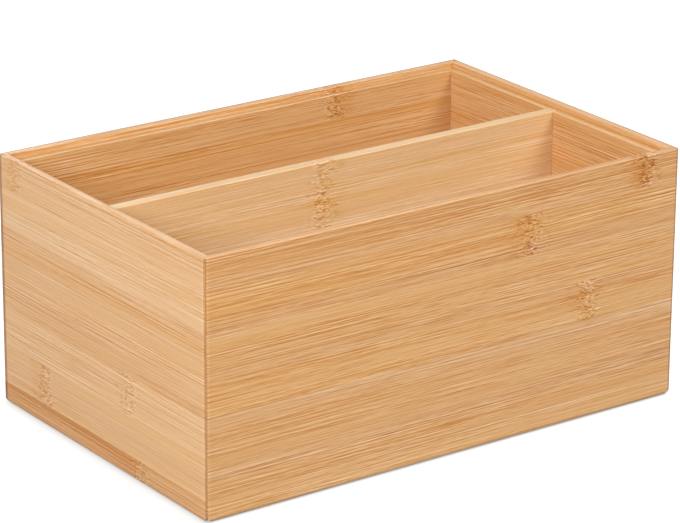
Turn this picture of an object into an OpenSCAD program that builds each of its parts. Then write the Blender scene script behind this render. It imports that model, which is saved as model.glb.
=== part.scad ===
// Open storage box of six bamboo boards: four mitred walls round a grooved-in
// bottom panel, and one long divider that stands in housings in the short walls.
// The origin is on the surface that the box stands on, below the middle of the
// box. +X runs along the box, +Y to its back and +Z up.

/* [Box] */
// Length of the box outside, along X
box_w = 300; // [240:2:360]
// Depth of the box outside, along Y
box_d = 196; // [150:2:260]
// Height of the box outside
box_h = 140; // [90:1:180]

/* [Walls] */
// Thickness of each wall
wall_t = 9; // [8:0.5:12]
// Thickness of the thin lip left outside the rebate at the top
lip_t = 4.5; // [3:0.5:6]
// Depth of the rebate below the top of the lip
rebate_h = 3; // [2:0.5:6]
// Radius of the round along the bottom outside edges
base_r = 3; // [1.5:0.5:4]
// Radius of the upright outside corners
corner_r = 1.5; // [0.5:0.25:2.5]
// Radius that eases the small edges at the top
ease_r = 0.6; // [0.2:0.1:1]

/* [Bottom panel] */
// Thickness of the bottom panel
panel_t = 5; // [3:0.5:8]
// Height of the panel's underside above the surface the box stands on
panel_lift = 5; // [4:0.5:12]
// Depth of the groove in the walls that holds the panel
groove_depth = 4.5; // [3:0.5:6]

/* [Divider] */
// Thickness of the divider
divider_t = 6; // [4:0.5:10]
// Distance of the divider's middle behind the middle of the box
divider_shift = 0; // [-40:1:40]
// Depth of the housings in the short walls that hold the divider's ends
housing_depth = 3; // [2:0.5:5]

/* [Fits] */
// Room for glue above the panel in its groove and beside the divider in its housings
glue_gap = 0.1; // [0.05:0.05:0.3]
// Room between the end of a board and the bottom of its groove or housing
end_gap = 0.2; // [0.1:0.1:0.5]

/* [Hidden] */
// How far a cut runs past the surface that it opens
overrun = 1;
// Facets of a full circle
$fn = 96;
// Right angle, by which edges and walls are turned
quarter = 90;

// Height of the ledge at the bottom of the rebate, where the divider ends too
ledge_z = box_h - rebate_h;
// Height of the panel's upper face, the floor of both compartments
floor_z = panel_lift + panel_t;
// Height of the top of the groove
groove_top_z = floor_z + glue_gap;
// Width of a housing
housing_w = divider_t + 2 * glue_gap;
// Length of the divider from end to end
divider_len = box_w - 2 * (wall_t - housing_depth) - 2 * end_gap;
// Sides of the panel
panel_w = box_w - 2 * (wall_t - groove_depth) - 2 * end_gap;
panel_d = box_d - 2 * (wall_t - groove_depth) - 2 * end_gap;

// Waste outside a round of radius r in the corner of a shape that lies at the
// origin and fills the +X +Y side
module corner_waste(r) {
  difference() {
    translate([-overrun, -overrun]) square(r + overrun);
    translate([r, r]) circle(r);
  }
}

// Section of a wall: X is the depth behind the outside face, Y is the height
module wall_section() {
  difference() {
    square([wall_t, box_h]);
    corner_waste(base_r);
    translate([wall_t, 0]) rotate(quarter) corner_waste(ease_r);
    translate([0, box_h]) rotate(-quarter) corner_waste(ease_r);
    translate([lip_t, box_h]) rotate(2 * quarter) corner_waste(ease_r);
    translate([lip_t, ledge_z]) square([wall_t - lip_t + overrun, rebate_h + overrun]);
    translate([wall_t, ledge_z]) rotate(2 * quarter) corner_waste(ease_r);
    translate([wall_t - groove_depth, panel_lift])
      square([groove_depth + overrun, groove_top_z - panel_lift]);
  }
}

// Plan of a wall of the given length: both ends are mitred at 45 degrees, and
// the outside corners are rounded
module wall_plan(length) {
  difference() {
    polygon([
      [-length / 2, 0],
      [length / 2, 0],
      [length / 2 - wall_t, wall_t],
      [-length / 2 + wall_t, wall_t]
    ]);
    translate([-length / 2, 0]) corner_waste(corner_r);
    translate([length / 2, 0]) rotate(quarter) corner_waste(corner_r);
  }
}

// A wall of the given length. It lies along X with its outside face on Y = 0
// and its inside face towards +Y.
module wall(length) {
  intersection() {
    translate([-length / 2, 0, 0])
      rotate([quarter, 0, quarter])
        linear_extrude(length) wall_section();
    linear_extrude(box_h) wall_plan(length);
  }
}

// Housing that a short wall has for one end of the divider, from the floor up
// to the ledge. The shift is the divider's, along the wall.
module housing(shift) {
  translate([shift - housing_w / 2, wall_t - housing_depth, floor_z])
    cube([housing_w, housing_depth + overrun, ledge_z - floor_z + overrun]);
}

// A short wall: its grooved board with the divider's housing cut in it
module short_wall(shift) {
  difference() {
    wall(box_d);
    housing(shift);
  }
}

module front_wall() {
  color("#d9a066") translate([0, -box_d / 2, 0]) wall(box_w);
}

module back_wall() {
  color("#d39a62") rotate(2 * quarter) translate([0, -box_d / 2, 0]) wall(box_w);
}

module left_wall() {
  color("#e2b684") rotate(-quarter) translate([0, -box_w / 2, 0]) short_wall(-divider_shift);
}

module right_wall() {
  color("#ddae7a") rotate(quarter) translate([0, -box_w / 2, 0]) short_wall(divider_shift);
}

// The panel lies on the lower side of the groove in all four walls
module bottom_panel() {
  color("#c98f58")
    translate([-panel_w / 2, -panel_d / 2, panel_lift])
      cube([panel_w, panel_d, panel_t]);
}

// Section of the divider across its length: it stands on the panel and its two
// top edges are eased
module divider_section() {
  height = ledge_z - floor_z;
  difference() {
    square([divider_t, height]);
    translate([0, height]) rotate(-quarter) corner_waste(ease_r);
    translate([divider_t, height]) rotate(2 * quarter) corner_waste(ease_r);
  }
}

module divider() {
  color("#dca872")
    translate([-divider_len / 2, divider_shift - divider_t / 2, floor_z])
      rotate([quarter, 0, quarter])
        linear_extrude(divider_len) divider_section();
}

front_wall();
back_wall();
left_wall();
right_wall();
bottom_panel();
divider();
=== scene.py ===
# %% [markdown]
# A bamboo storage box: four mitred walls, a bottom panel and one long divider.
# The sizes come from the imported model, which is loaded first and never moved.
# Everything below is in metres, in the model's own frame: X runs along the box,
# Y to its back and Z up, and Z = 0 is the surface that the box stands on.

import math

import bpy
from mathutils import Matrix, Quaternion, Vector


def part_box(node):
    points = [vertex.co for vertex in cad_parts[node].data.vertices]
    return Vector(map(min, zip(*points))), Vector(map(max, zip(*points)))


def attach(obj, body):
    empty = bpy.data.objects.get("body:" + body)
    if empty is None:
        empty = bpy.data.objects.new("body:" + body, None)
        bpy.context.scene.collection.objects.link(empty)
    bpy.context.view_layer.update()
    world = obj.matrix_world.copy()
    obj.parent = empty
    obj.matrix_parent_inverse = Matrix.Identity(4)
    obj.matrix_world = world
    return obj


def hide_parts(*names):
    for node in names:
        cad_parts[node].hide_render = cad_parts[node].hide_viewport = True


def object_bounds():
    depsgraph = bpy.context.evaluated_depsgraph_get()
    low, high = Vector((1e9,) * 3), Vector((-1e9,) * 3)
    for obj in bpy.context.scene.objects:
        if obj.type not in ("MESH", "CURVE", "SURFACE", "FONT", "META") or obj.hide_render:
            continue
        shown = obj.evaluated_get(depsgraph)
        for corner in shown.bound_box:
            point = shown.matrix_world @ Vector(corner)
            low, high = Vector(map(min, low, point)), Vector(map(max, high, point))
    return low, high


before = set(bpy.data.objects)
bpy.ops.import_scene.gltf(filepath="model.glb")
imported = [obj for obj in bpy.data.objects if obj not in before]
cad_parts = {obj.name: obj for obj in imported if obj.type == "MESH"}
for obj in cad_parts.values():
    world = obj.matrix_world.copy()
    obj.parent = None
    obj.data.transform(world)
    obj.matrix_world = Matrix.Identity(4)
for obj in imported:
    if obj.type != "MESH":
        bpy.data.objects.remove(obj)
CAD_LOW, CAD_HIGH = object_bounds()
print("frame:", sorted(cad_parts), "box", CAD_LOW, CAD_HIGH)

# %% [markdown]
# Two helpers serve the whole file. Blender wants linear colour, while a colour that is given here is an
# sRGB hex value, so one function turns the one into the other. Node trees are long to write out by hand,
# so a second function adds any node with its settings, its values and its links in one call. The values go
# in as a row, in the order of the node's own inputs, or by name or number. It works for shader trees and
# for geometry trees alike.

# %% Helpers
MM = 0.001
WHITE = "#ffffff"
# The axes by number
X, Y, Z = 0, 1, 2


def linear(hex_colour):
    """An sRGB hex value as linear red, green, blue and alpha, by the sRGB standard's own numbers."""
    shares = [int(hex_colour[i:i + 2], 16) / 255 for i in (1, 3, 5)]
    return (*(s / 12.92 if s <= 0.04045 else ((s + 0.055) / 1.055) ** 2.4 for s in shares), 1.0)


def add(tree, kind, inputs=(), **settings):
    """Adds a node. inputs is a row in the node's own order, or goes by name or number. Each one
    is a value, a socket, a node (its first output) or a list of those."""
    made = tree.nodes.new(kind)
    for name, value in settings.items():
        setattr(made, name, value)
    for key, value in inputs.items() if isinstance(inputs, dict) else enumerate(inputs):
        for one in value if isinstance(value, list) else [value]:
            one = one.outputs[0] if isinstance(one, bpy.types.Node) else one
            if isinstance(one, bpy.types.NodeSocket):
                tree.links.new(one, made.inputs[key])
            else:
                made.inputs[key].default_value = one
    return made


print("white in linear light:", linear(WHITE))

# %% [markdown]
# The camera stands at the front left, about 20 degrees above the box. It is far
# away behind a long lens, because the upright edges of the box stay almost
# parallel in the picture. The angles, the distance and the focal length were
# found together, by fitting the nine visible edges of a box of this size.

# %% Camera
VIEW_AZIMUTH = math.radians(-35.65)
VIEW_ELEVATION = math.radians(20.14)
VIEW_ROLL = math.radians(0.334)
# In metres from the point it looks at, and in mm of focal length
VIEW_DISTANCE = 1.9143
VIEW_LENS = 190.55
# That point, in metres to the right of the box's middle and up from it, as the camera sees it
AIM_RIGHT, AIM_UP = 0.0004, 0.0076

back = Vector((
    math.sin(VIEW_AZIMUTH) * math.cos(VIEW_ELEVATION),
    -math.cos(VIEW_AZIMUTH) * math.cos(VIEW_ELEVATION),
    math.sin(VIEW_ELEVATION),
))
turn = back.to_track_quat("Z", "Y")
aim = (CAD_LOW + CAD_HIGH) / 2 + turn @ Vector((AIM_RIGHT, AIM_UP, 0))
camera = bpy.data.objects.new("camera", bpy.data.cameras.new("camera"))
bpy.context.scene.collection.objects.link(camera)
camera.data.lens = VIEW_LENS
camera.location = aim + back * VIEW_DISTANCE
camera.rotation_mode = "QUATERNION"
camera.rotation_quaternion = turn @ Quaternion((0, 0, 1), VIEW_ROLL)
bpy.context.scene.camera = camera
print("camera at", camera.location)

# %% [markdown]
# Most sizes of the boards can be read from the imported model: a node's box gives
# the thickness of a wall, the top of the divider gives the depth of the rebate,
# and the panel gives the groove. The rest, such as the radii that the edges are
# eased to, are the same named sizes as in the model's source.

# %% Sizes of the boards
# The thin lip that the rebate leaves along the top of a wall
LIP = 4.5 * MM
# Rounds: along the outer lower edge, up the corners of the box, at the foot of each end, and
# the small one that takes the sharpness off the other edges
BASE_ROUND = 3 * MM
CORNER_ROUND = 1.5 * MM
FOOT_ROUND = 6 * MM
EASE = 0.6 * MM
# Room for glue beside a board in its groove or housing, and at its ends
GLUE_GAP = 0.1 * MM
END_GAP = 0.2 * MM

wall_low, wall_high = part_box("front_wall")
panel_low, panel_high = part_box("bottom_panel")
divider_low, divider_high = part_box("divider")

BOX_W, BOX_D, BOX_H = CAD_HIGH - CAD_LOW
THICKNESS = wall_high.y - wall_low.y
REBATE = BOX_H - divider_high.z
GROOVE_DEPTH = THICKNESS - (BOX_W / 2 - panel_high.x) + END_GAP
HOUSING_DEPTH = THICKNESS - (BOX_W / 2 - divider_high.x) + END_GAP
HOUSING_WIDTH = divider_high.y - divider_low.y + 2 * GLUE_GAP
print("walls %.1f mm thick, rebate %.1f, groove %.1f, housing %.1f deep"
      % tuple(s / MM for s in (THICKNESS, REBATE, GROOVE_DEPTH, HOUSING_DEPTH)))

# %% [markdown]
# A wall of the box is one length of a milled board: the section is the same from
# end to end, and both ends are sawn to a mitre. That is a rule, so one Geometry
# Nodes tree makes all four. Modelling each wall by hand would be as quick, but
# then a new thickness would mean new walls. The tree has an input for each named
# size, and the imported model's sizes are their defaults.

# %% The inputs of the wall tree
WALL_SIZES = {
    "Length": BOX_W, "Height": BOX_H, "Thickness": THICKNESS, "Lip": LIP, "Rebate": REBATE,
    "Base Round": BASE_ROUND, "Corner Round": CORNER_ROUND, "Foot Round": FOOT_ROUND, "Ease": EASE,
    "Groove Depth": GROOVE_DEPTH, "Groove Bottom": panel_low.z, "Groove Top": panel_high.z + GLUE_GAP,
    "Housing Width": HOUSING_WIDTH, "Housing Depth": HOUSING_DEPTH, "Housing Bottom": panel_high.z,
}


def new_tree(name, sizes, switch):
    """An empty geometry tree with a float input for each size, and its input and output nodes."""
    tree = bpy.data.node_groups.new(name, "GeometryNodeTree")
    tree.interface.new_socket("Geometry", in_out="OUTPUT", socket_type="NodeSocketGeometry")
    for size, value in sizes.items():
        socket = tree.interface.new_socket(size, in_out="INPUT", socket_type="NodeSocketFloat")
        socket.default_value = value
    tree.interface.new_socket(switch, in_out="INPUT", socket_type="NodeSocketBool")
    tree.interface.new_socket("Material", in_out="INPUT", socket_type="NodeSocketMaterial")
    return tree, add(tree, "NodeGroupInput").outputs, add(tree, "NodeGroupOutput")


print("a wall has", len(WALL_SIZES), "named sizes")

# %% [markdown]
# Every solid in the tree is an outline pulled along a line. The outline starts as
# a ring with one point for each corner. The points are moved to their corners, and
# a fillet rounds each one to its own radius, so a sharp corner has radius 0.

# %% Outlines and the bars pulled from them
# How far a cut runs past the wood, so that no two faces lie in one plane
OVERRUN = 2 * MM
# Straight pieces that a round is drawn with
ROUND_STEPS = 14


def outline(tree, corners, steps=ROUND_STEPS):
    """A closed curve through corners, each given as X, Y and the radius it is rounded to."""
    index = add(tree, "GeometryNodeInputIndex")
    spot = add(tree, "GeometryNodeIndexSwitch", (index,), data_type="VECTOR")
    radius = add(tree, "GeometryNodeIndexSwitch", (index,), data_type="FLOAT")
    for switch in (spot, radius):
        for _ in corners[2:]:
            switch.index_switch_items.new()
    for number, (x, y, rounding) in enumerate(corners, start=1):
        corner = add(tree, "ShaderNodeCombineXYZ", (x, y))
        tree.links.new(corner.outputs[0], spot.inputs[number])
        if isinstance(rounding, bpy.types.NodeSocket):
            tree.links.new(rounding, radius.inputs[number])
        else:
            radius.inputs[number].default_value = rounding
    ring = add(tree, "GeometryNodeCurvePrimitiveCircle", {"Resolution": len(corners)})
    shaped = add(tree, "GeometryNodeSetPosition", {"Geometry": ring, "Position": spot})
    return add(tree, "GeometryNodeFilletCurve", {"Curve": shaped, "Count": steps, "Radius": radius},
               mode="POLY")


def pull(tree, curve, low, high):
    """A closed solid: the outline pulled upwards from one height to the other."""
    start = add(tree, "ShaderNodeCombineXYZ", {2: low})
    end = add(tree, "ShaderNodeCombineXYZ", {2: high})
    path = add(tree, "GeometryNodeCurvePrimitiveLine", {"Start": start, "End": end})
    return add(tree, "GeometryNodeCurveToMesh", {"Curve": path, "Profile Curve": curve, "Fill Caps": True})


print("a round has", ROUND_STEPS, "steps, and a cut runs %.0f mm past the wood" % (OVERRUN / MM))

# %% [markdown]
# The milled board has a groove for the panel, a rebate that leaves a thin lip
# along its top, and eased edges. It is drawn as a section, pulled along Z and then
# laid down, so that it runs along X with its outer face on Y = 0.

# %% The milled board
def milled_board(tree, size, near, far):
    """The board before it is cut to length, from near to far along X."""
    groove_floor = add(tree, "ShaderNodeMath", (size["Thickness"], size["Groove Depth"]),
                       operation="SUBTRACT")
    ledge = add(tree, "ShaderNodeMath", (size["Height"], size["Rebate"]), operation="SUBTRACT")
    section = outline(tree, [
        (0.0, 0.0, size["Base Round"]),
        (size["Thickness"], 0.0, size["Ease"]),
        (size["Thickness"], size["Groove Bottom"], 0.0),
        (groove_floor, size["Groove Bottom"], 0.0),
        (groove_floor, size["Groove Top"], 0.0),
        (size["Thickness"], size["Groove Top"], 0.0),
        (size["Thickness"], ledge, size["Ease"]),
        (size["Lip"], ledge, 0.0),
        (size["Lip"], size["Height"], size["Ease"]),
        (0.0, size["Height"], size["Ease"]),
    ])
    return add(tree, "GeometryNodeTransform", {
        "Geometry": pull(tree, section, near, far), "Rotation": (math.pi / 2, 0, math.pi / 2)})


print("the board is %.0f mm high, with a lip %.1f mm thick" % (BOX_H / MM, LIP / MM))

# %% [markdown]
# Three more solids trim the board, and the wall is what all four have in common.
# Seen from above, a trapezoid mitres the ends, and a rectangle with two round
# corners gives the box its rounded upright corners. Seen from the front, another
# such rectangle rounds the foot at each end.

# %% The solids that trim it
def trimmed(tree, size, bar, near, far, half, deep, top):
    """The board with its ends mitred, its upright corners rounded and its feet rounded."""
    inner = add(tree, "ShaderNodeMath", (half, deep), operation="SUBTRACT")
    inner_left = add(tree, "ShaderNodeMath", (inner, -1.0), operation="MULTIPLY")
    mitre = pull(tree, outline(tree, [
        (near, -OVERRUN, 0.0),
        (far, -OVERRUN, 0.0),
        (inner, deep, 0.0),
        (inner_left, deep, 0.0),
    ], steps=1), -OVERRUN, top)

    left = add(tree, "ShaderNodeMath", (half, -1.0), operation="MULTIPLY")
    past_inside = add(tree, "ShaderNodeMath", (deep, deep), operation="ADD")
    corners = pull(tree, outline(tree, [
        (left, 0.0, size["Corner Round"]),
        (half, 0.0, size["Corner Round"]),
        (half, past_inside, 0.0),
        (left, past_inside, 0.0),
    ]), -OVERRUN, top)

    feet = pull(tree, outline(tree, [
        (left, 0.0, size["Foot Round"]),
        (half, 0.0, size["Foot Round"]),
        (half, top, 0.0),
        (left, top, 0.0),
    ]), -OVERRUN, deep)
    # Mirroring the solid as it is stood up turns it inside out, so its faces are flipped
    feet = add(tree, "GeometryNodeTransform", {
        "Geometry": feet, "Rotation": (math.pi / 2, 0, 0), "Scale": (1, 1, -1)})
    feet = add(tree, "GeometryNodeFlipFaces", {"Mesh": feet})
    return add(tree, "GeometryNodeMeshBoolean", {"Mesh 2": [bar, mitre, corners, feet]},
               operation="INTERSECT", solver="EXACT")


print("corners rounded to %.1f mm, feet to %.1f mm" % (CORNER_ROUND / MM, FOOT_ROUND / MM))

# %% [markdown]
# A short wall has a housing, an upright slot from the floor of the box to past its
# top, and a switch says whether it is cut. The end of the tree then shades the
# rounds smooth and the flats flat, and leaves plain geometry with its material.

# %% The housing and the end of the tree
# Points nearer than this are one, edges sharper than this stay sharp, and a face whose
# normal is this near an axis is flat
WELD = 0.002 * MM
SHARP_ANGLE = math.radians(25)
FLAT = 0.99999


def housed(tree, size, wall, top):
    """The wall with the divider's housing cut in it, if the switch says so."""
    cut_deep = add(tree, "ShaderNodeMath", (size["Housing Depth"], OVERRUN), operation="ADD")
    cut_high = add(tree, "ShaderNodeMath", (top, size["Housing Bottom"]), operation="SUBTRACT")
    cut_size = add(tree, "ShaderNodeCombineXYZ", (size["Housing Width"], cut_deep, cut_high))
    cut_back = add(tree, "ShaderNodeMath", (size["Thickness"], size["Housing Depth"]),
                   operation="SUBTRACT")
    cut_y = add(tree, "ShaderNodeMath", (cut_deep, 0.5, cut_back), operation="MULTIPLY_ADD")
    cut_z = add(tree, "ShaderNodeMath", (cut_high, 0.5, size["Housing Bottom"]),
                operation="MULTIPLY_ADD")
    cut = add(tree, "GeometryNodeTransform", {
        "Geometry": add(tree, "GeometryNodeMeshCube", {"Size": cut_size}),
        "Translation": add(tree, "ShaderNodeCombineXYZ", {1: cut_y, 2: cut_z})})
    with_cut = add(tree, "GeometryNodeMeshBoolean", {"Mesh 1": wall, "Mesh 2": cut},
                   operation="DIFFERENCE", solver="EXACT")
    return add(tree, "GeometryNodeSwitch", {"Switch": size["Housing"], "False": wall, "True": with_cut},
               input_type="GEOMETRY")


def close_tree(tree, solid, material, output):
    """Shades the rounds smooth and the flats flat, and ends the tree with geometry and material."""
    welded = add(tree, "GeometryNodeMergeByDistance", {"Geometry": solid, "Distance": WELD})
    angle = add(tree, "GeometryNodeInputMeshEdgeAngle")
    crease = add(tree, "FunctionNodeCompare", (angle, SHARP_ANGLE), operation="GREATER_THAN")
    smooth = add(tree, "GeometryNodeSetShadeSmooth", {"Geometry": welded, "Shade Smooth": True})
    creased = add(tree, "GeometryNodeSetShadeSmooth", {
        "Geometry": smooth, "Selection": crease, "Shade Smooth": False}, domain="EDGE")
    normal = add(tree, "GeometryNodeInputNormal")
    parts = add(tree, "ShaderNodeVectorMath", (normal,), operation="ABSOLUTE")
    parts = add(tree, "ShaderNodeSeparateXYZ", (parts,)).outputs
    largest = add(tree, "ShaderNodeMath", (parts[0], parts[1]), operation="MAXIMUM")
    largest = add(tree, "ShaderNodeMath", (largest, parts[2]), operation="MAXIMUM")
    level = add(tree, "FunctionNodeCompare", (largest, FLAT), operation="GREATER_THAN")
    flats = add(tree, "GeometryNodeSetShadeSmooth", {
        "Geometry": creased, "Selection": level, "Shade Smooth": False})
    real = add(tree, "GeometryNodeRealizeInstances", {"Geometry": flats})
    named = add(tree, "GeometryNodeSetMaterial", {"Geometry": real, "Material": material})
    tree.links.new(named.outputs[0], output.inputs[0])


print("the housing is %.1f mm wide" % (HOUSING_WIDTH / MM))

# %% [markdown]
# Now the steps are put together. The tree first works out the few lengths that
# its solids share, such as half the length and the height just past the top. Then
# it trims the milled board, cuts its housing and ends it. Because its sizes are
# inputs, a wall of another length is the same tree with another number.

# %% The whole wall tree
def wall_tree():
    """The tree of a wall that lies along X, with its outer face on Y = 0 and its foot on Z = 0."""
    tree, size, output = new_tree("mitred_wall", WALL_SIZES, "Housing")
    half = add(tree, "ShaderNodeMath", (size["Length"], 0.5), operation="MULTIPLY")
    far = add(tree, "ShaderNodeMath", (half, OVERRUN), operation="ADD")
    near = add(tree, "ShaderNodeMath", (far, -1.0), operation="MULTIPLY")
    deep = add(tree, "ShaderNodeMath", (size["Thickness"], OVERRUN), operation="ADD")
    top = add(tree, "ShaderNodeMath", (size["Height"], OVERRUN), operation="ADD")
    bar = milled_board(tree, size, near, far)
    wall = trimmed(tree, size, bar, near, far, half, deep, top)
    close_tree(tree, housed(tree, size, wall, top), size["Material"], output)
    return tree


WALL_TREE = wall_tree()
print("mitred_wall tree:", len(WALL_TREE.nodes), "nodes")

# %% [markdown]
# A tree does nothing until a modifier runs it on an object. This helper makes an
# empty mesh, gives it the tree, sets the tree's inputs by their identifiers, and
# bakes the result into a plain mesh, so that no modifier is left. Then the board
# is turned and moved to its place inside the mesh itself: the object stays at the
# origin, so that a pattern on object coordinates fits every board.

# %% A board from a tree
# The cuts leave the vertices a hair off. Rounded to this many digits of a metre, which is a
# ten-thousandth of a millimetre, they lie where they belong and come out the same each time.
VERTEX_DIGITS = 7


def board(name, tree, material, place, **inputs):
    """A piece made by a tree, as a plain mesh moved to its place. inputs are the tree's own sizes."""
    mesh = bpy.data.meshes.new(name)
    piece = bpy.data.objects.new(name, mesh)
    bpy.context.scene.collection.objects.link(piece)
    modifier = piece.modifiers.new("shape", "NODES")
    modifier.node_group = tree
    values = {key.replace("_", " ").title(): value for key, value in inputs.items()}
    values["Material"] = material
    for item in tree.interface.items_tree:
        if item.in_out == "INPUT" and item.name in values:
            modifier[item.identifier] = values[item.name]
    made = piece.evaluated_get(bpy.context.evaluated_depsgraph_get())
    piece.data = bpy.data.meshes.new_from_object(made)
    piece.modifiers.clear()
    piece.data.name = name
    piece.data.transform(place)
    for corner in piece.data.vertices:
        corner.co = [round(way, VERTEX_DIGITS) for way in corner.co]
    bpy.data.meshes.remove(mesh)
    low = Vector(map(min, zip(*(v.co for v in piece.data.vertices))))
    high = Vector(map(max, zip(*(v.co for v in piece.data.vertices))))
    print(f"{name}: {len(piece.data.polygons)} faces, from {low} to {high}")
    return piece


# %% [markdown]
# The boards are flat-pressed bamboo: culms are split into strips about 22 mm wide,
# and the strips are planed, glued edge to edge, sanded and lacquered. So each
# strip has its own tone and its own grain, and the grain runs dead straight in
# long fine streaks. Everything is drawn in millimetres on object coordinates, so
# the grain runs through a board as in solid wood and turns its edges with it.
# Two patterns are used again and again. Streaks are noise drawn out along the
# grain, and a thin line is the place where such noise passes one level.

# %% Streaks and lines
def streaks(tree, place, length, width, curl=0.0):
    """Noise drawn out along the grain. length and width are those of one feature in mm."""
    squeezed = add(tree, "ShaderNodeVectorMath", (place, (1 / length, 1 / width, 1 / width)),
                   operation="MULTIPLY")
    return add(tree, "ShaderNodeTexNoise", {0: squeezed, "Scale": 1.0, "Detail": 0.0, "Distortion": curl})


def drift(tree, place, length, width):
    """Such streaks counted from their middle, so that they go both ways from 0."""
    return add(tree, "ShaderNodeMath", (streaks(tree, place, length, width), 0.5), operation="SUBTRACT")


def line_at(tree, value, level, width):
    """1 where the value is at a level, falling to 0 at that width from it."""
    away = add(tree, "ShaderNodeMath", (value, level), operation="SUBTRACT")
    away = add(tree, "ShaderNodeMath", (away,), operation="ABSOLUTE")
    return add(tree, "ShaderNodeMapRange", (away, 0.0, width, 1.0, 0.0))


def set_stops(shades, stops):
    """Fills a colour ramp with these stops. A new ramp already has the first two."""
    for number, (position, colour) in enumerate(stops):
        stop = shades.elements[number] if number < 2 else shades.elements.new(1.0)
        stop.position, stop.color = position, colour


print("patterns: streaks, drift and line_at")

# %% [markdown]
# A board is a row of strips. They are numbered from 0, and the one that is cut off
# at the edge of the board, below the first joint, is number -1. Each strip comes
# from another length of culm, so its grain is slid along by chance, and no streak
# runs across a joint. The glue shows as a line at every second joint. At the ones
# in between only the tone of the strips changes.

# %% The row of strips
STRIP_WIDTH = 22
# Height of the first joint, in mm
FIRST_JOINT = 12.5
# How far the grain of a strip is slid along at most, in mm
SLIDE = 9000.0


def strip_row(tree, axes, along, across, first_joint, seed):
    """The number of the strip, a value that is 0 at every second joint, and the place along the grain."""
    counted = add(tree, "ShaderNodeMath", (axes[across], first_joint), operation="SUBTRACT")
    counted = add(tree, "ShaderNodeMath", (counted, STRIP_WIDTH), operation="DIVIDE")
    strip = add(tree, "ShaderNodeMath", (counted,), operation="FLOOR")
    joint = add(tree, "ShaderNodeMath", (counted, 1.0), operation="PINGPONG")
    chance = add(tree, "ShaderNodeTexWhiteNoise", (
        add(tree, "ShaderNodeCombineXYZ", (strip, seed)),), noise_dimensions="3D")
    slid = add(tree, "ShaderNodeMath", (chance, SLIDE, axes[along]), operation="MULTIPLY_ADD")
    return strip, joint, slid


print("strips in a wall:", 1 + math.ceil((BOX_H / MM - FIRST_JOINT) / STRIP_WIDTH))

# %% [markdown]
# Where a strip crosses a joint of the culm it has a knuckle. The fibres part
# there and end in the surface, so the knuckle is a band of short crooked flecks,
# most of them dark. The wood on one side of it is often a darker orange, darkest
# at the knuckle and fading along the grain. The straight grain starts again a few
# millimetres away. Each knuckle is given by its place along the grain, its strip,
# how strong its flecks are, and how far and how deep the darker wood goes.

# %% Knuckles
# Half the band of flecks along the grain, and half the step where the darker wood starts, in mm
FLECKS_HALF = 10.0
DARK_START = 2.5
# How steeply the flecks thin out
BELL_POWER = -3.0
# The edge of a knuckle is torn: length and width of one tear in mm, and how far it goes
TEAR = (6.0, 2.0)
TORN_BY = 18.0


def bell(tree, value, middle, half):
    """1 where the value is at the middle, falling softly to an eighth at that distance from it."""
    off = add(tree, "ShaderNodeMath", (value, middle), operation="SUBTRACT")
    off = add(tree, "ShaderNodeMath", (off, half), operation="DIVIDE")
    off = add(tree, "ShaderNodeMath", (off, off, 1.0), operation="MULTIPLY_ADD")
    return add(tree, "ShaderNodeMath", (off, BELL_POWER), operation="POWER")


def knuckles(tree, knots, along_mm, strip, place):
    """Where the flecks of all knuckles of a board are, and how much darker the wood is beside them."""
    torn = add(tree, "ShaderNodeMath", (drift(tree, place, *TEAR), TORN_BY, along_mm),
               operation="MULTIPLY_ADD")
    flecked = darker = 0.0
    for spot, row, strength, reach, depth in knots:
        here = add(tree, "ShaderNodeMath", (strip, float(row), 0.5), operation="COMPARE")
        strong = add(tree, "ShaderNodeMath", (here, strength), operation="MULTIPLY")
        flecked = add(tree, "ShaderNodeMath", (bell(tree, torn, spot, FLECKS_HALF), strong, flecked),
                      operation="MULTIPLY_ADD")
        step = math.copysign(DARK_START, reach)
        begun = add(tree, "ShaderNodeMapRange", (torn, spot - step, spot + step, 0.0, 1.0))
        fading = add(tree, "ShaderNodeMapRange", (torn, spot, spot + reach, 1.0, 0.0))
        beside = add(tree, "ShaderNodeMath", (begun, fading), operation="MULTIPLY")
        dark = add(tree, "ShaderNodeMath", (here, depth), operation="MULTIPLY")
        darker = add(tree, "ShaderNodeMath", (beside, dark, darker), operation="MULTIPLY_ADD")
    return flecked, darker


print("a knuckle is about", 2 * FLECKS_HALF, "mm long")

# %% [markdown]
# The grain is built up in layers, each laid on the tone at its own strength. Cut
# vessels give short streaks, fibres longer ones and bundles of fibres the longest.
# They are strong in patches where the fibres are dense and faint in between.
# Smooth noise would look soft, so a copy of each layer, moved one streak aside, is
# taken away from it, which leaves crisp streaks. Broad swells come on top.

# %% The tone of the strips and the grain
MIDDLE_TONE = 0.5
# Layers of grain: length along and width across one feature in mm, and its share of the tone.
# Real vessels are 0.2 mm wide, too fine to show, so they are drawn three times as coarse.
GRAIN = [(6, 0.60, 0.22), (28, 0.68, 0.42), (130, 0.72, 0.48)]
# How much of its moved copy is taken from a layer
CRISP = 0.35
# Broad changes of tone, given in the same way
SWELLS = [(500, 3.0, 0.03), (1500, 14.0, 0.18)]
# A patch of dense or sparse fibres in mm, its levels of noise, and how strong the grain is there
DENSE_PATCH = (170.0, 9.0)
DENSE_LEVELS = (0.3, 0.7)
DENSE_STRENGTH = (0.55, 1.4)


def strip_tone(tree, strip, tones):
    """One level of tone for each strip, the first for strip -1."""
    # Strip -1 comes to the middle of the first step of the ramp: 1 up, and half a step more
    row = add(tree, "ShaderNodeMath", (strip, 1 / len(tones), 1.5 / len(tones)), operation="MULTIPLY_ADD")
    steps = add(tree, "ShaderNodeValToRGB", (row,))
    steps.color_ramp.interpolation = "CONSTANT"
    set_stops(steps.color_ramp, [
        (number / len(tones), (*[MIDDLE_TONE + level] * 3, 1.0)) for number, level in enumerate(tones)])
    return steps


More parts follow.
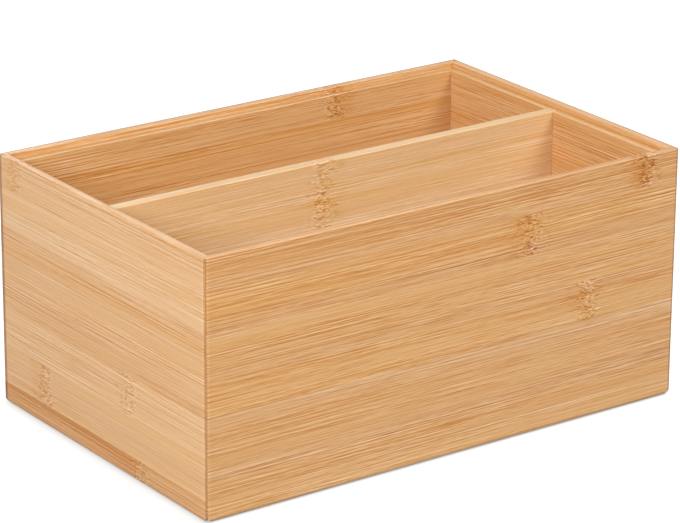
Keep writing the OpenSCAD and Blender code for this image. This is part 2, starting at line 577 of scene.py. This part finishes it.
def grained(tree, tone, plain, fibre, contrast):
    """The tone with the layers of grain and the swells laid on it."""
    dense = add(tree, "ShaderNodeMapRange", (
        streaks(tree, plain, *DENSE_PATCH), *DENSE_LEVELS, *DENSE_STRENGTH))
    for length, width, share in GRAIN:
        beside = add(tree, "ShaderNodeVectorMath", (fibre, (0, width, 0)), operation="ADD")
        for spot, part in ((fibre, 1.0), (beside, -CRISP)):
            strength = add(tree, "ShaderNodeMath", (dense, part * share * contrast), operation="MULTIPLY")
            tone = add(tree, "ShaderNodeMath", (drift(tree, spot, length, width), strength, tone),
                       operation="MULTIPLY_ADD")
    for length, width, share in SWELLS:
        tone = add(tree, "ShaderNodeMath", (drift(tree, fibre, length, width), share, tone),
                   operation="MULTIPLY_ADD")
    return tone


print("layers of grain:", len(GRAIN), "and broad swells:", len(SWELLS))

# %% [markdown]
# A few long thin lines run through the grain, dark ones and faint pale ones beside
# them, and the glue lines run between strips. In real bamboo they show in some
# places and fade in others, so each is held back by a broad patch of noise.

# %% The thin lines
# The course of the lines in mm. Each follows one level of it, with a width and a change of tone.
COURSE = (700.0, 2.0)
THIN_LINES = [(0.5, 0.05, -0.11), (0.62, 0.06, 0.03)]
# A patch in which they show: its length and width in mm, and its levels of noise
LINE_PATCH = (140.0, 2.5)
LINE_LEVELS = (0.45, 0.62)
# The glue: half its width in mm, its tone, its patches, and how much of it is left in the faint ones
GLUE_HALF = 0.4
GLUE_TONE = -0.18
GLUE_PATCH = (130.0, 22.0)
GLUE_LEVELS = (0.42, 0.58)
GLUE_LEFT = 0.2


def lined(tree, tone, plain, fibre, joint):
    """The tone with the thin lines and the glue lines laid on it."""
    course = streaks(tree, fibre, *COURSE)
    shown = add(tree, "ShaderNodeMapRange", (streaks(tree, fibre, *LINE_PATCH), *LINE_LEVELS, 0.0, 1.0))
    for level, width, change in THIN_LINES:
        line = add(tree, "ShaderNodeMath", (line_at(tree, course, level, width), shown),
                   operation="MULTIPLY")
        tone = add(tree, "ShaderNodeMath", (line, change, tone), operation="MULTIPLY_ADD")
    glued = add(tree, "ShaderNodeMapRange", (
        streaks(tree, plain, *GLUE_PATCH), *GLUE_LEVELS, GLUE_LEFT, 1.0))
    glue = add(tree, "ShaderNodeMath", (line_at(tree, joint, 0.0, GLUE_HALF / STRIP_WIDTH), glued),
               operation="MULTIPLY")
    return add(tree, "ShaderNodeMath", (glue, GLUE_TONE, tone), operation="MULTIPLY_ADD")


print("kinds of thin line:", len(THIN_LINES), "and glue lines", 2 * GLUE_HALF, "mm wide")

# %% [markdown]
# Where two walls meet, their corner is sanded round. The cut fibres there soak up lacquer, which gives a
# dull darker strip, worn in places, and the mitre shows as a hair of glue. At the near corner, the low end
# of both walls, the strip is about a millimetre wide. Beside it a pale line is painted on as a highlight,
# where light would lie on the smooth lacquer. At the far ends the strip is darker and wider, and that
# extra darkness is painted shade on the rounds that face away from the lamps.

# %% Sanded corners, with painted shade and a painted highlight
BOX_HALVES_MM = [BOX_W / 2 / MM, BOX_D / 2 / MM, 0.0]
# The colour that the dark strip is multiplied towards: wood that soaks up lacquer, and painted shade at
# the far ends and on the rims
SOAKED_AND_SHADE = "#b8a38e"
# A worn patch in mm, its levels of noise, and how much of the dark strip is left in it and beside it
WORN_PATCH = (30.0, 12.0)
WORN_LEVELS = (0.35, 0.6)
WORN_LEFT = (0.8, 1.0)
# The painted highlight: its middle and half its width in mm past the dark strip, and how strong it is
PAINTED_HIGHLIGHT_AT, PAINTED_HIGHLIGHT_HALF = 0.6, 0.9
PAINTED_HIGHLIGHT_STRENGTH = 0.10
# The hair of glue: half its width in mm, and how dark it is
HAIR_HALF, HAIR_DARK = 0.25, 0.4
# The values of the low end change to those of the high end between these mm from the box's middle
LOW_TO_HIGH = (-1.0, 1.0)


def mm_from_side(tree, axes, axis):
    """The distance in mm from the nearer side of the box on that axis."""
    from_middle = add(tree, "ShaderNodeMath", (axes[axis],), operation="ABSOLUTE")
    return add(tree, "ShaderNodeMath", (BOX_HALVES_MM[axis], from_middle), operation="SUBTRACT")


def corner_soak_and_painted_light(tree, axes, along, from_face, plain, corner):
    """How dark the strip is at the ends of a board, where lacquer soaks into the wood and, at the far end,
    painted shade lies on it. Also how bright the painted highlight beside it is.
    """
    from_end = mm_from_side(tree, axes, along)
    full, faded, deep, painted_highlight = (
        add(tree, "ShaderNodeMapRange", (axes[along], *LOW_TO_HIGH, *both_ends))
        for both_ends in (*zip(*corner), (PAINTED_HIGHLIGHT_STRENGTH, 0.0)))
    beyond = add(tree, "ShaderNodeMath", (from_end, faded), operation="SUBTRACT")
    painted_highlight = add(tree, "ShaderNodeMath", (line_at(tree, beyond, PAINTED_HIGHLIGHT_AT, PAINTED_HIGHLIGHT_HALF), painted_highlight),
                operation="MULTIPLY")
    worn = add(tree, "ShaderNodeMapRange", (
        streaks(tree, plain, *WORN_PATCH), *WORN_LEVELS, *WORN_LEFT))
    soaked_and_shaded = add(tree, "ShaderNodeMapRange", (from_end, full, faded, deep, 0.0))
    soaked_and_shaded = add(tree, "ShaderNodeMath", (soaked_and_shaded, worn), operation="MULTIPLY")
    off_mitre = add(tree, "ShaderNodeMath", (from_end, from_face), operation="SUBTRACT")
    dark = add(tree, "ShaderNodeMath", (line_at(tree, off_mitre, 0.0, HAIR_HALF), HAIR_DARK, soaked_and_shaded),
               operation="MULTIPLY_ADD")
    return dark, painted_highlight


print("sides of the box are", BOX_HALVES_MM[:Z], "mm from its middle")

# %% [markdown]
# The wood is a warm straw colour, and one ramp turns the tone into it, from the brown of a fleck to the
# cream of a pale fibre. Some bands are a richer orange, and so is the dark wood beside a knuckle. The
# edges of a board, where the strips show their sides, are a hair richer in colour. They are also darkened
# as painted shade, which keeps the lit tops of the walls and the divider from coming out paler than their
# faces.

# %% Colours of the bamboo
# From its darkest fleck to its palest fibre
BAMBOO_STOPS = [
    (0.00, "#905020"),
    (0.22, "#b87430"),
    (0.40, "#c78a4c"),
    (0.50, "#d09a60"),
    (0.62, "#d8a770"),
    (0.80, "#e2b98a"),
    (1.00, "#eecfaa"),
]
# Bands of richer orange: length and width in mm, and how much they change the saturation
RICH_BANDS = [(150, 3.0, 0.05), (900, 10.0, 0.15)]
# How much richer the colour is where the wood beside a knuckle is darker
DARK_RICHNESS = 0.3
# From which share of the normal a face counts as an edge of the board, how much darker it is as painted
# shade, and how much richer its own colour is
EDGE_FACING = (0.5, 0.9)
EDGE_SHADE_VALUE, EDGE_RICHNESS = -0.15, 0.01


def shade_of(tree, tone):
    """The colour of a tone."""
    shades = add(tree, "ShaderNodeValToRGB", (tone,))
    set_stops(shades.color_ramp, [(position, linear(shade)) for position, shade in BAMBOO_STOPS])
    return shades


def on_edge(tree, across):
    """1 on the two edges of a board, where the row of strips begins and ends, and 0 on its faces."""
    normal = add(tree, "ShaderNodeNewGeometry").outputs["Normal"]
    facing = add(tree, "ShaderNodeSeparateXYZ", (normal,)).outputs[across]
    facing = add(tree, "ShaderNodeMath", (facing,), operation="ABSOLUTE")
    return add(tree, "ShaderNodeMapRange", (facing, *EDGE_FACING, 0.0, 1.0))


def rich_and_shaded_value(tree, fibre, darker, edge, richness):
    """How rich the colour of the wood is, and how bright, with painted shade on the edges of the board."""
    rich = add(tree, "ShaderNodeMath", (darker, DARK_RICHNESS, richness), operation="MULTIPLY_ADD")
    for length, width, share in RICH_BANDS:
        rich = add(tree, "ShaderNodeMath", (drift(tree, fibre, length, width), share, rich),
                   operation="MULTIPLY_ADD")
    rich = add(tree, "ShaderNodeMath", (edge, EDGE_RICHNESS, rich), operation="MULTIPLY_ADD")
    # The darker value on the edges is painted shade
    return rich, add(tree, "ShaderNodeMath", (edge, EDGE_SHADE_VALUE, 1.0), operation="MULTIPLY_ADD")


print("colours:", len(BAMBOO_STOPS), "from", BAMBOO_STOPS[0][1], "to", BAMBOO_STOPS[-1][1])

# %% [markdown]
# The finish is a clear satin lacquer on sanded bamboo: the wood colour stays open,
# the surface has a soft sheen, and the grain can just be felt, most in the
# knuckles. Dark dense wood is a little duller than pale wood under the same coat.
# The bump is kept under a tenth of a millimetre, since the board was sanded.

# %% The satin lacquer
# How far the grain stands out in plain wood and how much more in the knuckles, and the bump
RELIEF, FLECK_RELIEF = 0.3, 1.2
BUMP_STRENGTH, BUMP_HEIGHT = 0.35, 0.08 * MM
# The roughness of dark wood and of pale wood, and the two tones that count as those
SATIN = (0.46, 0.34)
SHEEN_TONES = (0.2, 0.8)
LACQUER_IOR = 1.5


def lacquered(tree, colour, tone, flecked):
    """Ends the tree with the wood's colour under the lacquer."""
    felt = add(tree, "ShaderNodeMath", (flecked, FLECK_RELIEF, RELIEF), operation="MULTIPLY_ADD")
    relief = add(tree, "ShaderNodeMath", (tone, felt), operation="MULTIPLY")
    bump = add(tree, "ShaderNodeBump", {
        "Strength": BUMP_STRENGTH, "Distance": BUMP_HEIGHT, "Height": relief})
    sheen = add(tree, "ShaderNodeMapRange", (tone, *SHEEN_TONES, *SATIN))
    shader = add(tree, "ShaderNodeBsdfPrincipled", {
        "Base Color": colour, "Roughness": sheen, "IOR": LACQUER_IOR, "Normal": bump})
    add(tree, "ShaderNodeOutputMaterial", {"Surface": shader})


print("lacquer: roughness", SATIN, "IOR", LACQUER_IOR)

# %% [markdown]
# One function makes the finish of any board. It only needs to know which way the
# grain runs, the tone of each strip and where the knuckles are. The grain is not
# quite straight: it sways on its way, and in the knuckles it is crooked, so all
# streaks are drawn on a place that is moved a little across the grain.

# %% The bamboo finish
# A bend of the grain: length and width, and how far it goes, in mm. The second is in the knuckles.
SWAY, SWAYED_BY = (300.0, 40.0), 1.6
CROOK, CROOKED_BY = (5.0, 2.5), 4.0
# Flecks: length and width in mm, how much they curl, and from which level of the noise to
# which they go from dark to pale. Real ones are finer, but too fine to show in the picture.
FLECK, FLECK_CURL = (2.3, 0.65), 0.35
FLECK_LEVELS = (0.30, 0.66)
FLECK_TONES = (-0.38, 0.24)
# Painted shade along the outer edge of a wall's top, where the round faces away from the lamps: full and
# gone, in mm from the wall's face
RIM_SHADE_SPAN = (0.8, 1.8)


def bamboo(name, along, across, seed, tones, first_joint=FIRST_JOINT, knots=(), contrast=1.0,
           richness=1.0, golden=0.0, corner=None, rim_shade=0.0):
    """Flat-pressed bamboo. along and across are the axes of the grain and of the row of
    strips, tones one tone for each strip from number -1, and knots the knuckles.
    contrast is how strong the grain is, richness how strong the colour is, and golden how far its hue goes
    towards yellow. corner says where the dark strip at the low and the high end of a mitred board is full
    and where it has faded, in mm from the end, and how dark it is. The strip is wood that soaks up
    lacquer, made darker and wider at the high end as painted shade. rim_shade is how dark the painted
    shade is along the edge of its top at the wall's face."""
    material = bpy.data.materials.new(name)
    material.use_nodes = True
    tree = material.node_tree
    tree.nodes.clear()
    # The third axis is what is left of the sum of all three
    depth = X + Y + Z - along - across

    object_place = add(tree, "ShaderNodeTexCoord").outputs["Object"]
    in_mm = add(tree, "ShaderNodeVectorMath", {0: object_place, "Scale": 1 / MM}, operation="SCALE")
    axes = add(tree, "ShaderNodeSeparateXYZ", (in_mm,)).outputs
    strip, joint, slid = strip_row(tree, axes, along, across, first_joint, seed)
    plain = add(tree, "ShaderNodeCombineXYZ", (slid, axes[across], axes[depth]))

    flecked, darker = knuckles(tree, knots, axes[along], strip, plain)
    crooked = add(tree, "ShaderNodeMath", (drift(tree, plain, *CROOK), flecked), operation="MULTIPLY")
    swayed = add(tree, "ShaderNodeMath", (streaks(tree, plain, *SWAY), SWAYED_BY, axes[across]),
                 operation="MULTIPLY_ADD")
    swayed = add(tree, "ShaderNodeMath", (crooked, CROOKED_BY, swayed), operation="MULTIPLY_ADD")
    fibre = add(tree, "ShaderNodeCombineXYZ", (slid, swayed, axes[depth]))

    # The tone, and the knuckles in it: darker wood, and flecks that are dark beside pale
    tone = strip_tone(tree, strip, tones)
    tone = grained(tree, tone, plain, fibre, contrast)
    tone = lined(tree, tone, plain, fibre, joint)
    tone = add(tree, "ShaderNodeMath", (darker, -1.0, tone), operation="MULTIPLY_ADD")
    marks = add(tree, "ShaderNodeMapRange", (
        streaks(tree, plain, *FLECK, curl=FLECK_CURL), *FLECK_LEVELS, *FLECK_TONES))
    tone = add(tree, "ShaderNodeMath", (marks, flecked, tone), operation="MULTIPLY_ADD")

    edge = on_edge(tree, across)
    rich, value = rich_and_shaded_value(tree, fibre, darker, edge, richness)
    if corner:
        from_face = mm_from_side(tree, axes, depth)
        dark, painted_highlight = corner_soak_and_painted_light(tree, axes, along, from_face, plain, corner)
        # Painted shade along the outer edge of the top of a far wall
        outer = add(tree, "ShaderNodeMapRange", (from_face, *RIM_SHADE_SPAN, 1.0, 0.0))
        outer = add(tree, "ShaderNodeMath", (outer, edge), operation="MULTIPLY")
        dark = add(tree, "ShaderNodeMath", (outer, rim_shade, dark), operation="MULTIPLY_ADD")
        # The painted highlight beside the near corner is added to the brightness
        value = add(tree, "ShaderNodeMath", (value, painted_highlight), operation="ADD")
    colour = add(tree, "ShaderNodeHueSaturation", {
        "Hue": 0.5 + golden, "Saturation": rich, "Value": value, "Color": shade_of(tree, tone)})
    if corner:
        # A Mix node has its two colours at inputs 6 and 7 and the mixed one at output 2
        colour = add(tree, "ShaderNodeMix", {"Factor": dark, 6: colour, 7: linear(SOAKED_AND_SHADE)},
                     data_type="RGBA", blend_type="MULTIPLY").outputs[2]
    lacquered(tree, colour, tone, flecked)
    return material


print("a knuckle has flecks %.1f mm long and %.2f mm wide" % FLECK)

# %% [markdown]
# One function makes all six finishes, because the boards are one material, but no
# two of them come from the same culm. The long boards and the divider carry their
# grain along X and the short ones along Y, and their strips lie one above the
# other. The panel's strips lie side by side. A seed gives each board a grain of
# its own. The tones of the strips and the places of the knuckles are written out
# and not left to chance, because they are what the eye knows a board by.

# %% Finishes of the boards
# The dark strip at the low end and at the high end of a wall: it is full up to the first mm from the end
# and gone at the second, and the third number is how dark it is. At the low end it is wood that soaks up
# lacquer. At the high end it is darker and wider as painted shade on the rounds that face away from the
# lamps.
LONG_CORNERS = [(0.6, 1.1, 0.65), (1.2, 2.0, 1.0)]
SHORT_CORNERS = [(1.0, 1.7, 0.65), (2.9, 4.0, 1.0)]
# How much paler each strip is than the middle tone, from strip -1 up
FRONT_TONES = [0.09, 0.07, 0.06, 0.05, 0.05, 0.01, 0.00]
LEFT_TONES = [-0.02, 0.16, 0.17, 0.10, 0.10, 0.18, 0.16]
# The back wall's tones are set lower as painted shade, for the shade that lies inside the box
BACK_TONES_SHADED = [0.09, 0.10, 0.04, 0.08, 0.05, 0.01, 0.04]
PLAIN_TONES = [0.09, 0.12, 0.07, 0.11, 0.13, 0.08, 0.11, 0.14, 0.09, 0.12]
# The divider's strips are paler wood, and they are raised further as painted light, so that its face deep
# inside the box comes out as bright as the walls outside
DIVIDER_TONES_LIT = [0.16, 0.20, 0.17, 0.25, 0.30, 0.30, 0.25]
# The knuckles: each has its place along the grain in mm, its strip, the strength of its flecks,
# the reach of the darker wood in mm, where a minus means the low side, and how dark that is
FRONT_KNOTS = [(51, 4, 1.0, -18, 0.12), (90, 2, 1.0, -14, 0.08), (129, 5, 1.0, -14, 0.22)]
LEFT_KNOTS = [(81, 5, 0.6, 14, 0.10), (-27, 1, 0.8, 14, 0.06), (54, 0, 0.9, 16, 0.12),
              (-37, -1, 0.8, 500, 0.09)]
BACK_KNOTS = [(60, 5, 1.0, 18, 0.12), (-70, 2, 0.9, -14, 0.08)]
RIGHT_KNOTS = [(20, 3, 0.9, 14, 0.10), (-60, 1, 0.9, -18, 0.08)]
DIVIDER_KNOTS = [(-13, 4, 1.0, 14, 0.08), (-13, 5, 0.8, 14, 0.06)]
# Painted shade on the outer edge of the top of a far wall, whose round faces away from the lamps
FAR_RIM_SHADE = 0.8
# The panel's strips are counted from near its front edge, in mm from the middle of the box
PANEL_JOINT = -77.0

front_finish = bamboo("bamboo_front_satin", X, Z, seed=3.0, tones=FRONT_TONES, knots=FRONT_KNOTS,
                      contrast=1.12, corner=LONG_CORNERS)
left_finish = bamboo("bamboo_left_satin", Y, Z, seed=11.0, tones=LEFT_TONES, knots=LEFT_KNOTS,
                     contrast=0.88, corner=SHORT_CORNERS)
# The back wall is a little less rich and more yellow as painted light, against the warm light that bounces
# inside the box
back_finish = bamboo("bamboo_back_satin", X, Z, seed=23.0, tones=BACK_TONES_SHADED, knots=BACK_KNOTS,
                     richness=0.97, golden=0.003, corner=LONG_CORNERS, rim_shade=FAR_RIM_SHADE)
right_finish = bamboo("bamboo_right_satin", Y, Z, seed=37.0, tones=PLAIN_TONES, knots=RIGHT_KNOTS,
                      corner=SHORT_CORNERS, rim_shade=FAR_RIM_SHADE)
panel_finish = bamboo("bamboo_panel_sanded", X, Y, seed=51.0, tones=PLAIN_TONES,
                      first_joint=PANEL_JOINT)
# The divider's hue is moved towards yellow as painted light, against the warm light that bounces inside
# the box
divider_finish = bamboo("bamboo_divider_satin", X, Z, seed=67.0, tones=DIVIDER_TONES_LIT,
                        knots=DIVIDER_KNOTS, contrast=0.85, golden=0.006)
finishes = (front_finish, left_finish, back_finish, right_finish, panel_finish, divider_finish)
print("finishes:", ", ".join(finish.name for finish in finishes))

# %% [markdown]
# Each wall is the same milled board, turned a quarter further round the box. The
# two short ones also have a housing, the upright groove that holds an end of the
# divider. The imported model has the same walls. The new ones take their place
# because they also have the rounded foot at each end, which lifts the corners a
# little off the floor, and smooth rounds along their edges.

# %% The four walls
def placed(turns, distance):
    """The place of a wall whose outer face is that far from the middle of the box."""
    return Matrix.Rotation(turns * math.pi / 2, 4, "Z") @ Matrix.Translation((0, -distance, 0))


# Name, finish, quarter turns, how far the outer face is from the middle, length, and whether
# it has a housing
WALLS = [
    ("front_wall", front_finish, 0, BOX_D / 2, BOX_W, False),
    ("right_wall", right_finish, 1, BOX_W / 2, BOX_D, True),
    ("back_wall", back_finish, 2, BOX_D / 2, BOX_W, False),
    ("left_wall", left_finish, 3, BOX_W / 2, BOX_D, True),
]
for node_name, finish, turns, distance, length, housing in WALLS:
    wall = board(node_name + "_board", WALL_TREE, finish, placed(turns, distance),
                 length=length, housing=housing)
    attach(wall, "root")
    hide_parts(node_name)

# %% [markdown]
# The bottom panel and the divider are plain sawn boards with straight edges, and
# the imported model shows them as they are. So their meshes stay, and they only get
# their finish.

# %% The panel and the divider
for node_name, finish, slot in (
        ("bottom_panel", panel_finish, "bamboo_panel"), ("divider", divider_finish, "bamboo_divider")):
    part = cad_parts[node_name]
    part.data.materials.clear()
    part.data.materials.append(finish)
    print(node_name, "finished with", finish.name)

# %% [markdown]
# The floor is an ordinary matt pale surface for the light that falls on the box.
# For the camera and in reflections it also has a little light of its own, just enough to come out white,
# and it still keeps the box's shadow. Near the box an ambient occlusion node paints shade into its colour
# and its own light. This painted contact shadow is darkest in the thin gap under the box's rounded edge.

# %% The floor
# Half its side, in metres
FLOOR_HALF = 4.0
# How much light it gives back, and the light of its own that the camera and reflections see
FLOOR_SHADE = 0.4
FLOOR_SEEN = 0.82
FLOOR_GLOW = 0.6
# How near the box has to be for the painted contact shadow, and what is left of the floor's light there
CONTACT = 10 * MM
CONTACT_SHADE = 0.54


def seen_directly(tree):
    """1 on rays from the camera, and 1 on rays in reflections and through glass."""
    path = add(tree, "ShaderNodeLightPath").outputs
    mirrored = add(tree, "ShaderNodeMath", (path["Is Glossy Ray"], path["Is Transmission Ray"]),
                   operation="MAXIMUM")
    return path["Is Camera Ray"], mirrored


floor_finish = bpy.data.materials.new("matt_white_floor")
floor_finish.use_nodes = True
tree = floor_finish.node_tree
tree.nodes.clear()
seen, mirrored = seen_directly(tree)
# Painted contact shadow: ambient occlusion darkens the floor's colour and its own light near the box
near = add(tree, "ShaderNodeAmbientOcclusion", {"Distance": CONTACT}).outputs["AO"]
contact_shadow = add(tree, "ShaderNodeMapRange", (near, 0.0, 1.0, CONTACT_SHADE, 1.0))
matt = add(tree, "ShaderNodeMath", (contact_shadow, FLOOR_SHADE), operation="MULTIPLY")
matt = add(tree, "ShaderNodeBsdfDiffuse", {"Color": matt})
in_mirrors = add(tree, "ShaderNodeMath", (mirrored, FLOOR_GLOW), operation="MULTIPLY")
in_view = add(tree, "ShaderNodeMath", (seen, contact_shadow), operation="MULTIPLY")
glow = add(tree, "ShaderNodeMath", (in_view, FLOOR_SEEN, in_mirrors), operation="MULTIPLY_ADD")
glow = add(tree, "ShaderNodeEmission", {"Color": linear(WHITE), "Strength": glow})
add(tree, "ShaderNodeOutputMaterial", {"Surface": add(tree, "ShaderNodeAddShader", (matt, glow))})

floor_mesh = bpy.data.meshes.new("floor")
corners = [(x * FLOOR_HALF, y * FLOOR_HALF, 0) for x, y in ((-1, -1), (1, -1), (1, 1), (-1, 1))]
floor_mesh.from_pydata(corners, [], [(0, 1, 2, 3)])
floor_mesh.materials.append(floor_finish)
floor = bpy.data.objects.new("floor", floor_mesh)
bpy.context.scene.collection.objects.link(floor)
print("floor:", 2 * FLOOR_HALF, "m square")

# %% [markdown]
# The world is a pale studio: white where it is seen, and only a weak fill light on
# the box, so that the lamps give it its shading.

# %% The world
# Its strength where it is seen, and as light on the box
SKY_SEEN = 1.0
SKY_LIGHT = 0.15

world = bpy.data.worlds.new("studio")
bpy.context.scene.world = world
world.use_nodes = True
tree = world.node_tree
tree.nodes.clear()
either = add(tree, "ShaderNodeMath", seen_directly(tree), operation="MAXIMUM")
strength = add(tree, "ShaderNodeMapRange", (either, 0.0, 1.0, SKY_LIGHT, SKY_SEEN))
sky = add(tree, "ShaderNodeBackground", {"Color": linear(WHITE), "Strength": strength})
add(tree, "ShaderNodeOutputWorld", {"Surface": sky})
print("sky:", SKY_SEEN, "where it is seen,", SKY_LIGHT, "as light")

# %% [markdown]
# Soft light comes from large lamps. Two stand in front of the box, the stronger
# one at its left, so that the short wall is the paler one. A weak third one
# behind the box keeps its back from going dark when it is seen from there.

# %% The lamps
# Name, place in metres, side of the lamp in metres, and watts
LAMPS = [
    ("left_softbox", (-1.53, -0.81, 1.07), 1.0, 36.3),
    ("right_softbox", (0.79, -1.01, 1.60), 1.0, 29.0),
    ("back_softbox", (0.20, 1.90, 0.75), 1.2, 18.0),
]
for lamp_name, spot, side, watts in LAMPS:
    light = bpy.data.lights.new(lamp_name, "AREA")
    light.size, light.energy = side, watts
    lamp = bpy.data.objects.new(lamp_name, light)
    lamp.location = spot
    lamp.rotation_euler = (aim - Vector(spot)).to_track_quat("-Z", "Y").to_euler()
    bpy.context.scene.collection.objects.link(lamp)
bpy.context.scene.view_settings.view_transform = "Standard"
print("lamps:", ", ".join(lamp_name for lamp_name, *_ in LAMPS))
